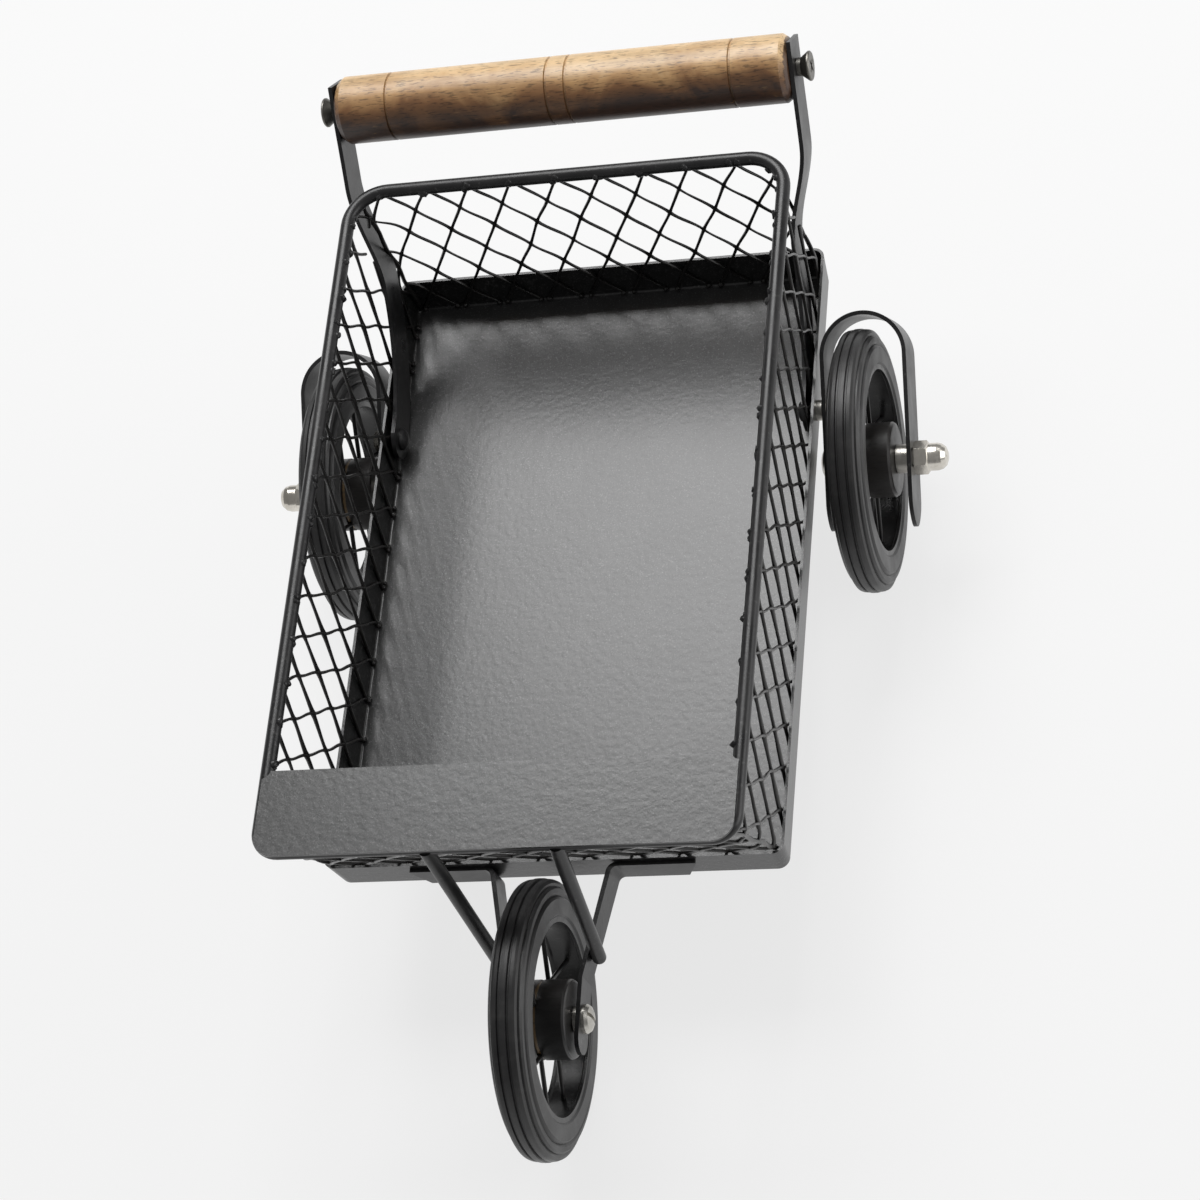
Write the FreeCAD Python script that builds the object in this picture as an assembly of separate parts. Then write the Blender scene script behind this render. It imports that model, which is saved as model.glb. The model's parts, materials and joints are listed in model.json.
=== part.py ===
import FreeCAD, Part
import math
import os

# Small three-wheeled wheelbarrow with a wire basket and a wooden handle.
# Millimetres. +Z up, front wheel towards -Y, handle towards +Y, ground at Z = 0.
# The origin is on the ground, in the middle of the overall length and width.

V = FreeCAD.Vector

# ---- wheels
WHEEL_R = 58.0
TYRE_W = 16.0
TYRE_BORE_R = 42.1
BAND_T = 1.3
BAND_W = 14.6
HUB_R = 16.5
HUB_HALF = 13.0
HUB_GROOVE = 0.9
SPOKE_R = 1.0
SPOKE_PAIRS = 4
SPOKE_SPREAD = 29.0
RUNNING = 0.08

# ---- axles
REAR_Y = 90.0
REAR_X = 119.5
FRONT_Y = -174.0
REAR_AXLE_R = 3.9
FRONT_AXLE_R = 2.95
CAP_HEX = 6.5
CAP_LENGTH = 15.0

# ---- basket, drawn level and then leaned forward about the rear axle's line
TILT = 2.2
PIVOT = V(0, REAR_Y, 64)
SHEET = 1.2
TRAY_W = 100.0
TRAY_REAR = 187.0
TRAY_FRONT = -110.0
FLOOR_Z = 64.0
FLANGE_H = 20.0
FLANGE_LEAN = 5.0
TRAY_CORNER = 5.0
RIM_Z = 157.0
RIM_R = 3.0
RIM_W = 99.0
RIM_REAR = 185.5
RIM_FRONT = -136.0
RIM_REAR_CORNER = 17.0
RIM_FRONT_CORNER = 9.0
LIP_W = 99.5
LIP_REAR = -101.5
LIP_FRONT = -139.5

# ---- basket wall netting
MESH_T = 1.4
HEAVY_STRAND = 1.9
LIGHT_STRAND = 1.4

# ---- handle
GRIP_Y = 217.0
GRIP_Z = 176.0
GRIP_R = 15.0
GRIP_HALF = 103.0
GRIP_CHAMFER = 3.2
GRIP_GROOVES = (-78.0, -4.4, 4.4, 78.0)
SCREW_SHANK_R = 3.5
SCREW_TIP_R = 2.4
STRAP_T = 1.8
STRAP_W = 18.0
STRAP_PATH = [(225, 185.8), (217, 176), (193, 146), (178, 129), (164, 108), (148, 92), (128, 80),
              (107, 75)]
STRAP_IN_X = 94.9
STRAP_OUT_X = 104.2
STRAP_BEND = (195.0, 240.0)

# ---- rear forks
FORK_T = 1.8
FORK_W = 20.0
FORK_ANGLE = 29.0
FORK_INNER = 102.0
FORK_OUTER = 140.4
FORK_STRAIGHT = 46.0
FORK_TAIL = 30.0
FORK_BOLT_Y = 107.0
FORK_BOLT_Z = 75.0
FORK_BOLT_R = 2.4

# ---- front fork
LEG_W = 14.0
LEG_NOSE = 15.0
LEG_T = 1.8
LEG_X = 16.1
LEG_TAB_X = 62.0
LEG_BEND_X = 26.5
LEG_STRAIGHT = 16.0
STRUT_R = 3.0
STRUT_TOP_X = 27.0
STRUT_FOOT_BACK = 26.0

OUT = "parts"


def export(name, shape):
    shape.exportStep(os.path.join(OUT, name + ".step"))


def lean(shape):
    """Turn a piece of the level basket forward about the rear axle's line."""
    turned = shape.copy()
    turned.rotate(PIVOT, V(1, 0, 0), TILT)
    return turned


def lean_point(point):
    return FreeCAD.Rotation(V(1, 0, 0), TILT).multVec(point - PIVOT) + PIVOT


def mirror_x(shape):
    return shape.mirror(V(0, 0, 0), V(1, 0, 0))


def x_cylinder(radius, x0, x1, y, z):
    return Part.makeCylinder(radius, x1 - x0, V(x0, y, z), V(1, 0, 0))


def revolve_x(profile, y, z):
    """Solid of revolution about X from (x, radius) points."""
    wire = Part.makePolygon([V(x, r, 0) for x, r in profile + profile[:1]])
    body = Part.Face(wire).revolve(V(0, 0, 0), V(1, 0, 0), 360)
    body.translate(V(0, y, z))
    return body


def prism(points, direction):
    wire = Part.makePolygon(points + points[:1])
    return Part.Face(wire).extrude(direction)


def rounded_rectangle(x0, x1, y0, y1, z, r):
    """Closed wire of a rectangle with round corners, in a level plane."""
    k = r * (1 - math.cos(math.pi / 4))
    arcs = [
        (V(x1 - r, y0, z), V(x1 - k, y0 + k, z), V(x1, y0 + r, z)),
        (V(x1, y1 - r, z), V(x1 - k, y1 - k, z), V(x1 - r, y1, z)),
        (V(x0 + r, y1, z), V(x0 + k, y1 - k, z), V(x0, y1 - r, z)),
        (V(x0, y0 + r, z), V(x0 + k, y0 + k, z), V(x0 + r, y0, z)),
    ]
    edges = []
    for i, arc in enumerate(arcs):
        edges.append(Part.Arc(*arc).toShape())
        edges.append(Part.makeLine(arc[2], arcs[(i + 1) % 4][0]))
    return Part.Wire(edges)


# ---------------------------------------------------------------- basket

def tray_shell(inset, z0, z1):
    """Block that fills the tray, inset from its outer faces; wider at the top."""
    base = FLOOR_Z
    wires = []
    for z in (z0, z1):
        out = (z - base - FLANGE_H) * math.tan(math.radians(FLANGE_LEAN)) - inset
        r = TRAY_CORNER - inset
        wires.append(rounded_rectangle(-TRAY_W - out, TRAY_W + out, TRAY_FRONT - out,
                                       TRAY_REAR + out, z, r))
    return Part.makeLoft(wires, True, True)


def make_tray():
    outer = tray_shell(0.0, FLOOR_Z, FLOOR_Z + FLANGE_H)
    bottom = [e for e in outer.Edges
              if abs(e.BoundBox.ZMax - FLOOR_Z) < 1e-3 and abs(e.BoundBox.ZMin - FLOOR_Z) < 1e-3]
    outer = outer.makeFillet(2.2, bottom)
    inner = tray_shell(SHEET, FLOOR_Z + SHEET, FLOOR_Z + FLANGE_H + 1)
    floor = [e for e in inner.Edges
             if abs(e.BoundBox.ZMax - FLOOR_Z - SHEET) < 1e-3
             and abs(e.BoundBox.ZMin - FLOOR_Z - SHEET) < 1e-3]
    inner = inner.makeFillet(1.2, floor)
    return outer.cut(inner)


def rim_bar(start, end):
    d = end - start
    return Part.makeCylinder(RIM_R, d.Length, start, d)


def rim_corner(cx, cy, r, turn):
    ring = Part.makeTorus(r, RIM_R, V(0, 0, 0), V(0, 0, 1), 0, 360, 90)
    ring.rotate(V(0, 0, 0), V(0, 0, 1), turn)
    ring.translate(V(cx, cy, RIM_Z))
    return ring


def make_rim():
    a = RIM_REAR_CORNER
    b = RIM_FRONT_CORNER
    w = RIM_W
    z = RIM_Z
    pieces = [
        rim_bar(V(w, RIM_FRONT + b, z), V(w, RIM_REAR - a, z)),
        rim_corner(w - a, RIM_REAR - a, a, 0),
        rim_bar(V(w - a, RIM_REAR, z), V(-w + a, RIM_REAR, z)),
        rim_corner(-w + a, RIM_REAR - a, a, 90),
        rim_bar(V(-w, RIM_REAR - a, z), V(-w, RIM_FRONT + b, z)),
        rim_corner(-w + b, RIM_FRONT + b, b, 180),
        rim_bar(V(-w + b, RIM_FRONT, z), V(w - b, RIM_FRONT, z)),
        rim_corner(w - b, RIM_FRONT + b, b, 270),
    ]
    return pieces[0].multiFuse(pieces[1:]).removeSplitter()


def make_lip_plate():
    z = RIM_Z + RIM_R
    outline = rounded_rectangle(-LIP_W, LIP_W, LIP_FRONT, LIP_REAR + 20, z, RIM_FRONT_CORNER)
    plate = Part.Face(outline).extrude(V(0, 0, SHEET))
    plate = plate.cut(Part.makeBox(300, 60, 10, V(-150, LIP_REAR, z - 4)))
    for side in (-1, 1):
        notch = Part.makeCylinder(4.5, 10, V(side * (LIP_W + 1.0), LIP_REAR + 1.0, z - 4))
        plate = plate.cut(notch)
    return plate


def cell_outline(u, v, heavy, light):
    """Opening of the netting: a leaning diamond, blunt at its sides where the strands join."""
    cross = abs(heavy[0] * light[1] - heavy[1] * light[0])
    p = 0.5 - LIGHT_STRAND / 2 * math.hypot(*light) / cross
    q = 0.5 - HEAVY_STRAND / 2 * math.hypot(*heavy) / cross

    def corner(i, j):
        return (u + heavy[0] * i + light[0] * j, v + heavy[1] * i + light[1] * j)

    cut = 0.06
    return [corner(p, q), corner(p, -q + cut), corner(p - cut, -q), corner(-p, -q),
            corner(-p, q - cut), corner(-p + cut, q)]


def netting(outline, origin, along, up, heavy, light):
    """Flat netting inside an outline, in the plane of the unit vectors along and up.

    heavy and light are the steps of the two strand directions from one joint to the next.
    """
    normal = along.cross(up)

    def at(u, v, depth=0.0):
        return origin + along * u + up * v + normal * depth

    sheet = prism([at(u, v, -MESH_T / 2) for u, v in outline], normal * MESH_T)
    us = [p[0] for p in outline]
    vs = [p[1] for p in outline]
    cells = []
    for i in range(-40, 40):
        for j in range(-40, 40):
            u = min(us) + heavy[0] * i + light[0] * j
            v = max(vs) + heavy[1] * i + light[1] * j
            if min(us) - 15 < u < max(us) + 15 and min(vs) - 20 < v < max(vs) + 20:
                hole = [at(c, d, -MESH_T) for c, d in cell_outline(u, v, heavy, light)]
                cells.append(prism(hole, normal * (2 * MESH_T)))
    return sheet.cut(Part.makeCompound(cells))


def biggest(shape):
    return max(shape.Solids, key=lambda s: s.Volume)


def make_side_mesh():
    """Right wall: leans out from the flange's inner foot to the rim's centre.

    Its rear edge is notched where the handle's strap passes through.
    """
    foot = V(96.9, 0, FLOOR_Z + 2.6)
    top = V(RIM_W, 0, RIM_Z)
    up = top - foot
    height = up.Length
    up.normalize()
    outline = [
        (TRAY_FRONT + 3.5, 0), (TRAY_REAR - 3.5, 0), (TRAY_REAR - 3.5, 42), (166.4, 64),
        (174, 73.4), (RIM_REAR - RIM_REAR_CORNER, height), (-126, height),
    ]
    return biggest(netting(outline, foot, V(0, 1, 0), up, (-7.8, -18.5), (11.3, -18.1)))


def make_rear_mesh():
    foot = V(0, TRAY_REAR - 3.1, FLOOR_Z + 2.6)
    top = V(0, RIM_REAR, RIM_Z)
    up = top - foot
    height = up.Length
    up.normalize()
    w = RIM_W - RIM_REAR_CORNER
    outline = [(-96, 0), (96, 0), (96, 42), (w, height), (-w, height), (-96, 42)]
    return biggest(netting(outline, foot, V(1, 0, 0), up, (-8.4, -15.4), (11.8, -15.7)))


def make_front_mesh():
    """Front wall: from inside the flange's top edge it slopes forward to the rim."""
    foot = V(0, TRAY_FRONT + 3.3, FLOOR_Z + FLANGE_H - 4.0)
    top = V(0, RIM_FRONT, RIM_Z)
    up = top - foot
    height = up.Length
    up.normalize()
    w = RIM_W - RIM_FRONT_CORNER
    outline = [(-95.6, 0), (95.6, 0), (w + 2, height * 0.9), (w, height), (-w, height),
               (-w - 2, height * 0.9)]
    return biggest(netting(outline, foot, V(1, 0, 0), up, (-11.8, -15.7), (8.4, -15.4)))


# ---------------------------------------------------------------- handle

def make_grip():
    c = GRIP_CHAMFER
    end_r = GRIP_R - c

    def groove(x):
        return [(x - 0.7, GRIP_R), (x - 0.35, GRIP_R - 0.9), (x + 0.35, GRIP_R - 0.9), (x + 0.7, GRIP_R)]

    half = [(-GRIP_HALF, 0), (-GRIP_HALF, end_r), (-GRIP_HALF + 1.0, end_r + 1.7),
            (-GRIP_HALF + c, GRIP_R)]
    profile = list(half)
    for x in GRIP_GROOVES:
        profile += groove(x)
    profile += [(-x, r) for x, r in reversed(half)]
    return revolve_x(profile, GRIP_Y, GRIP_Z)


def make_handle_screw():
    """Right screw: conical head outside the strap, neck in the strap's hole, thread in the grip."""
    s0 = GRIP_HALF
    s1 = GRIP_HALF + 0.3 + STRAP_T
    profile = [
        (s0 - 24, 0), (s0 - 20, SCREW_TIP_R), (s0, SCREW_TIP_R), (s0, SCREW_SHANK_R),
        (s1 + 0.3, SCREW_SHANK_R), (s1 + 0.3, 4.0), (s1 + 1.9, 4.0), (s1 + 5.2, 6.5),
        (s1 + 5.8, 6.5), (s1 + 6.2, 6.1), (s1 + 6.2, 0),
    ]
    screw = revolve_x(profile, GRIP_Y, GRIP_Z)
    for w, h in ((1.3, 7.0), (7.0, 1.3)):
        slot = Part.makeBox(3, w, h, V(s1 + 4.6, GRIP_Y - w / 2, GRIP_Z - h / 2))
        screw = screw.cut(slot)
    return screw


def strap_outline():
    """Strap seen from the side: a band of even width along its path, round at the bolt end."""
    left = []
    right = []
    n = len(STRAP_PATH)
    for i, (y, z) in enumerate(STRAP_PATH):
        y0, z0 = STRAP_PATH[max(i - 1, 0)]
        y1, z1 = STRAP_PATH[min(i + 1, n - 1)]
        length = math.hypot(y1 - y0, z1 - z0)
        ny = -(z1 - z0) / length * STRAP_W / 2
        nz = (y1 - y0) / length * STRAP_W / 2
        left.append(V(0, y + ny, z + nz))
        right.append(V(0, y - ny, z - nz))
    side_a = Part.BSplineCurve()
    side_a.interpolate(left)
    side_b = Part.BSplineCurve()
    side_b.interpolate(right[::-1])
    d = V(0, STRAP_PATH[-1][0] - STRAP_PATH[-2][0], STRAP_PATH[-1][1] - STRAP_PATH[-2][1])
    d.normalize()
    tip = V(0, STRAP_PATH[-1][0], STRAP_PATH[-1][1]) + d * (STRAP_W / 2)
    end = Part.Arc(left[-1], tip, right[-1])
    return Part.Wire([side_a.toShape(), end.toShape(), side_b.toShape(),
                      Part.makeLine(right[0], left[0])])


def strap_sheet():
    """The strap's thickness, seen along its width: inside the wall, then out to the grip's end.

    s runs up the strap's straight upper stretch, so its bends lie square across it.
    """
    up = V(0, 0.625, 0.781)
    across = V(0, -0.781, 0.625)
    s0, s1 = STRAP_BEND
    steps = 8

    def edge(offset):
        points = []
        for i in range(steps + 1):
            t = i / steps
            x = STRAP_IN_X + (STRAP_OUT_X - STRAP_IN_X) * t * t * (3 - 2 * t) + offset
            points.append(V(x, 0, 0) + up * (s0 + (s1 - s0) * t) - across * 150)
        curve = Part.BSplineCurve()
        curve.interpolate(points)
        low = V(STRAP_IN_X + offset, 0, 0) + up * 60 - across * 150
        high = V(STRAP_OUT_X + offset, 0, 0) + up * 320 - across * 150
        return low, high, [Part.makeLine(low, points[0]), curve.toShape(),
                           Part.makeLine(points[-1], high)]

    low_a, high_a, side_a = edge(STRAP_T / 2)
    low_b, high_b, side_b = edge(-STRAP_T / 2)
    ends = [Part.makeLine(high_a, high_b), Part.makeLine(low_a, low_b)]
    wire = Part.Wire(Part.sortEdges(side_a + side_b + ends)[0])
    return Part.Face(wire).extrude(across * 300)


def make_strap():
    """Right strap: it passes behind the rim's corner and runs inside the wall."""
    face = Part.Face(strap_outline())
    face.translate(V(80, 0, 0))
    strap = biggest(face.extrude(V(40, 0, 0)).common(strap_sheet()))
    strap = strap.cut(x_cylinder(SCREW_SHANK_R + RUNNING, 90, 120, GRIP_Y, GRIP_Z))
    return strap.cut(x_cylinder(FORK_BOLT_R, 80, 120, FORK_BOLT_Y, FORK_BOLT_Z))


# ---------------------------------------------------------------- rear forks

def fork_axes():
    a = math.radians(FORK_ANGLE)
    return V(0, math.cos(a), math.sin(a)), V(0, -math.sin(a), math.cos(a))


def u_face(x0, x1, tail, straight):
    """Outline of a U from its open end to its arch, in the plane of X and the fork's length."""
    e, n = fork_axes()
    base = V(0, REAR_Y, WHEEL_R) - n * (FORK_W / 2)
    r = (x1 - x0) / 2
    mid = (x0 + x1) / 2
    p = [V(x0, 0, 0) - e * tail + base, V(x0, 0, 0) + e * straight + base,
         V(mid, 0, 0) + e * (straight + r) + base, V(x1, 0, 0) + e * straight + base,
         V(x1, 0, 0) - e * tail + base]
    return Part.Face(Part.Wire([Part.makeLine(p[0], p[1]), Part.Arc(p[1], p[2], p[3]).toShape(),
                                Part.makeLine(p[3], p[4]), Part.makeLine(p[4], p[0])]))


def make_rear_fork():
    """Right fork: a flat strap bent over the wheel, with round-nosed legs past the axle."""
    e, n = fork_axes()
    outer = u_face(FORK_INNER, FORK_OUTER, FORK_TAIL, FORK_STRAIGHT).extrude(n * FORK_W)
    inner = u_face(FORK_INNER + FORK_T, FORK_OUTER - FORK_T, FORK_TAIL + 5, FORK_STRAIGHT)
    loop = outer.cut(inner.extrude(n * FORK_W))
    c = V(0, REAR_Y, WHEEL_R)
    h = FORK_W / 2
    nose = 13.0
    shape = [c - e * (FORK_TAIL - nose) - n * h, c - e * (FORK_TAIL - 3.5) - n * (h * 0.62),
             c - e * FORK_TAIL, c - e * (FORK_TAIL - 3.5) + n * (h * 0.62),
             c - e * (FORK_TAIL - nose) + n * h]
    curve = Part.BSplineCurve()
    curve.interpolate(shape)
    far = 120
    sides = Part.makePolygon([shape[-1], c + e * far + n * h, c + e * far - n * h, shape[0]])
    side_view = Part.Face(Part.Wire([curve.toShape()] + sides.Edges))
    side_view.translate(V(90, 0, 0))
    fork = loop.common(side_view.extrude(V(60, 0, 0)))
    fork = fork.cut(x_cylinder(REAR_AXLE_R, 90, 160, REAR_Y, WHEEL_R))
    bolt_hole = x_cylinder(FORK_BOLT_R, 90, FORK_INNER + 10, FORK_BOLT_Y, FORK_BOLT_Z)
    return fork.cut(bolt_hole)


def hexagon_x(across_flats, x0, x1, y, z):
    r = across_flats / math.sqrt(3)
    points = []
    for i in range(6):
        a = math.radians(60 * i + 30)
        points.append(V(x0, y + r * math.cos(a), z + r * math.sin(a)))
    return prism(points, V(x1 - x0, 0, 0))


def make_fork_bolt():
    """Right fixing bolt: round head inside the basket, shank out through the fork's inner leg."""
    face = 94.0
    end = FORK_INNER + FORK_T + 2.2
    head = [(face, 0), (face, 5.0), (face - 0.9, 5.0), (face - 2.2, 4.1), (face - 3.0, 2.5),
            (face - 3.3, 0)]
    head_solid = revolve_x(head, FORK_BOLT_Y, FORK_BOLT_Z)
    shank = x_cylinder(FORK_BOLT_R, face, end, FORK_BOLT_Y, FORK_BOLT_Z)
    return head_solid.fuse(shank).removeSplitter()


def make_fork_spacer(tray):
    ring = x_cylinder(4.6, TRAY_W - 1.6, FORK_INNER, FORK_BOLT_Y, FORK_BOLT_Z)
    ring = ring.cut(x_cylinder(FORK_BOLT_R, 90, 110, FORK_BOLT_Y, FORK_BOLT_Z))
    return biggest(ring.cut(tray))


def make_fork_nut():
    x0 = FORK_INNER + FORK_T
    nut = hexagon_x(8.0, x0, x0 + 2.2, FORK_BOLT_Y, FORK_BOLT_Z)
    return nut.cut(x_cylinder(FORK_BOLT_R, 90, 110, FORK_BOLT_Y, FORK_BOLT_Z))


def make_rear_axle():
    """Right axle: a low round head beside the tray, then a plain shank into the cap nut."""
    f = FORK_INNER
    tip = FORK_OUTER + 11.0
    profile = [(f - 2.4, 0), (f - 2.4, 4.6), (f - 1.5, 6.4), (f - 0.5, 6.9), (f, 6.9),
               (f, REAR_AXLE_R), (tip - 0.8, REAR_AXLE_R), (tip, REAR_AXLE_R - 0.8), (tip, 0)]
    return revolve_x(profile, REAR_Y, WHEEL_R)


def make_cap_nut():
    x = FORK_OUTER
    hexagon = hexagon_x(13.0, x, x + CAP_HEX, REAR_Y, WHEEL_R)
    bevel = revolve_x([(x, 0), (x, 6.9), (x + 0.6, 7.5), (x + CAP_HEX - 0.9, 7.5),
                       (x + CAP_HEX, 6.2), (x + CAP_HEX, 0)], REAR_Y, WHEEL_R)
    x1 = x + CAP_LENGTH
    dome = revolve_x([(x + CAP_HEX - 1, 0), (x + CAP_HEX - 1, 6.1), (x + 10.2, 6.1),
                      (x + 12.2, 5.6), (x + 13.9, 4.2), (x + 14.8, 2.0), (x1, 0)], REAR_Y, WHEEL_R)
    nut = hexagon.common(bevel).fuse(dome).removeSplitter()
    return nut.cut(x_cylinder(REAR_AXLE_R, x - 1, x + 11.0, REAR_Y, WHEEL_R))


def ring_x(outer_r, inner_r, x0, x1, y, z):
    return x_cylinder(outer_r, x0, x1, y, z).cut(x_cylinder(inner_r, x0 - 1, x1 + 1, y, z))


# ---------------------------------------------------------------- wheels

def make_tyre(x, y):
    w = TYRE_W / 2
    r = WHEEL_R
    b = TYRE_BORE_R
    right = [(w, b + 0.8), (w, r - 8.6), (w - 0.5, r - 7.9), (w - 1.3, r - 7.3), (w - 0.7, r - 6.2),
             (w - 0.9, r - 4.4), (w - 1.7, r - 3.5), (w - 2.5, r - 3.4), (w - 2.4, r - 2.2),
             (w - 3.0, r - 0.9), (w - 4.0, r - 0.5), (2.6, r - 0.35), (2.2, r - 1.1), (1.6, r - 1.1),
             (1.2, r - 0.05)]
    profile = [(0, b), (w - 0.8, b)] + right + [(0, r)]
    profile += [(-u, v) for u, v in reversed(right)] + [(-w + 0.8, b)]
    return revolve_x([(x + u, v) for u, v in profile], y, WHEEL_R)


def make_band(x, y):
    """Steel band inside the tyre, with small rolled edges."""
    w = BAND_W / 2
    b = TYRE_BORE_R
    t = BAND_T
    profile = [(x - w, b), (x + w, b), (x + w, b - t - 0.9), (x + w - 1.2, b - t - 0.9),
               (x + w - 1.9, b - t), (x - w + 1.9, b - t), (x - w + 1.2, b - t - 0.9),
               (x - w, b - t - 0.9)]
    return revolve_x(profile, y, WHEEL_R)


def make_hub(x, y, bore):
    h = HUB_HALF
    r = HUB_R
    side = [(h - 1.2, r), (h - 0.3, r - 0.5), (h, r - 1.4), (h, bore)]
    profile = [(0.5, r - HUB_GROOVE), (1.0, r)] + side
    profile += [(-u, v) for u, v in reversed(side)] + [(-1.0, r), (-0.5, r - HUB_GROOVE)]
    return revolve_x([(x + u, v) for u, v in profile], y, WHEEL_R)


def make_spokes(x, y):
    """Wire pairs, each a V from the hub's groove to the band."""
    pairs = []
    reach = TYRE_BORE_R - BAND_T
    root = HUB_R - HUB_GROOVE + SPOKE_R * 0.7
    for i in range(SPOKE_PAIRS):
        a = math.radians(90 + 360.0 * i / SPOKE_PAIRS)
        apex = V(x, y + root * math.cos(a), WHEEL_R + root * math.sin(a))
        pair = Part.makeSphere(SPOKE_R * 1.15, apex)
        for side in (-1, 1):
            b = a + side * math.radians(SPOKE_SPREAD)
            end = V(x, y + reach * math.cos(b), WHEEL_R + reach * math.sin(b))
            d = end - apex
            pair = pair.fuse(Part.makeCylinder(SPOKE_R, d.Length, apex, d))
        pairs.append(pair.removeSplitter())
    return Part.makeCompound(pairs)


# ---------------------------------------------------------------- front fork

def front_axes():
    a = math.radians(FLANGE_LEAN + TILT)
    return V(0, -math.cos(a), -math.sin(a)), V(0, -math.sin(a), math.cos(a))


def front_point(x, forward, up):
    f, w = front_axes()
    return V(x, FRONT_Y, WHEEL_R) + f * forward + w * up


def flange_distance():
    """How far behind the front axle the tray's front flange stands, along the leg."""
    f, w = front_axes()
    mid = lean_point(V(0, TRAY_FRONT + FLANGE_H / 2 * math.tan(math.radians(FLANGE_LEAN)),
                       FLOOR_Z + FLANGE_H / 2))
    return -(mid - V(0, FRONT_Y, WHEEL_R)).dot(f)


def make_front_leg():
    """Right leg: a flat strip, its tab on the flange, bent forward and closing in to the axle."""
    back = flange_distance()
    t = LEG_T
    h = LEG_W / 2
    inner = [(LEG_TAB_X, -back), (LEG_BEND_X - t, -back), (LEG_X - t / 2, -LEG_STRAIGHT),
             (LEG_X - t / 2, LEG_NOSE)]
    outer = [(LEG_X + t / 2, LEG_NOSE), (LEG_X + t / 2, -LEG_STRAIGHT), (LEG_BEND_X, -back + t),
             (LEG_TAB_X, -back + t)]
    f, w = front_axes()
    strip = prism([front_point(x, y, -h) for x, y in inner + outer], w * LEG_W)
    bend = []
    for e in strip.Edges:
        mid = e.CenterOfMass - front_point(0, 0, 0)
        if abs(abs(e.tangentAt(e.FirstParameter).dot(w)) - 1) < 1e-6:
            if abs(mid.x - LEG_BEND_X) < 0.3 and abs(mid.dot(f) + back - t) < 0.3:
                bend.append((e, 3.0))
            if abs(mid.x - LEG_BEND_X + t) < 0.3 and abs(mid.dot(f) + back) < 0.3:
                bend.append((e, 4.8))
    for edge, radius in sorted(bend, key=lambda b: b[1]):
        match = [e for e in strip.Edges if (e.CenterOfMass - edge.CenterOfMass).Length < 1e-3]
        strip = strip.makeFillet(radius, match)
    tip = LEG_NOSE - h
    side = [front_point(0, -back - 2, -h), front_point(0, tip, -h), front_point(0, LEG_NOSE, 0),
            front_point(0, tip, h), front_point(0, -back - 2, h)]
    nose = Part.Arc(side[1], side[2], side[3]).toShape()
    outline = Part.Wire([Part.makeLine(side[0], side[1]), nose, Part.makeLine(side[3], side[4]),
                         Part.makeLine(side[4], side[0])])
    strip = strip.common(Part.Face(outline).extrude(V(90, 0, 0)))
    corner = prism([front_point(LEG_TAB_X + 1, -back - 3, h + 1),
                    front_point(LEG_TAB_X + 1, -back - 3, -h - 1),
                    front_point(LEG_TAB_X - 6, -back - 3, -h - 1)], f * 8)
    strip = strip.cut(corner)
    return strip.cut(x_cylinder(FRONT_AXLE_R, 0, 40, FRONT_Y, WHEEL_R))


def make_strut(rim):
    """Right brace rod, from under the rim's front bar to the outside of the fork leg."""
    top = lean_point(V(STRUT_TOP_X, RIM_FRONT - 1.2, RIM_Z))
    slope = (LEG_BEND_X - LEG_X - LEG_T / 2) / (flange_distance() - LEG_STRAIGHT)
    face_x = LEG_X + LEG_T / 2 + slope * (STRUT_FOOT_BACK - LEG_STRAIGHT)
    foot = front_point(face_x + STRUT_R - 0.1, -STRUT_FOOT_BACK, 1.0)
    d = foot - top
    rod = Part.makeCylinder(STRUT_R, d.Length, top, d)
    tip = Part.makeSphere(STRUT_R, foot)
    return biggest(rod.fuse(tip).removeSplitter().cut(rim))


def make_front_screw():
    """Axle screw: pan head on the right, nut on the left."""
    x0 = LEG_X + LEG_T / 2
    tip = -x0 - 6.4
    profile = [(x0, 0), (x0, 6.1), (x0 + 1.4, 6.1), (x0 + 2.8, 5.2), (x0 + 3.7, 3.4), (x0 + 4.0, 0)]
    screw = revolve_x(profile, FRONT_Y, WHEEL_R)
    screw = screw.fuse(x_cylinder(FRONT_AXLE_R, tip, x0, FRONT_Y, WHEEL_R)).removeSplitter()
    slot = Part.makeBox(3, 1.5, 16, V(x0 + 2.4, FRONT_Y - 0.75, WHEEL_R - 8))
    return screw.cut(slot)


def make_front_nut():
    x1 = -LEG_X - LEG_T / 2
    nut = hexagon_x(10.0, x1 - 5.0, x1, FRONT_Y, WHEEL_R)
    bevel = revolve_x([(x1, 0), (x1, 5.3), (x1 - 0.5, 5.8), (x1 - 4.5, 5.8), (x1 - 5.0, 5.3),
                       (x1 - 5.0, 0)], FRONT_Y, WHEEL_R)
    return nut.common(bevel).cut(x_cylinder(FRONT_AXLE_R, x1 - 6, x1 + 1, FRONT_Y, WHEEL_R))


# ---------------------------------------------------------------- build

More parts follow.
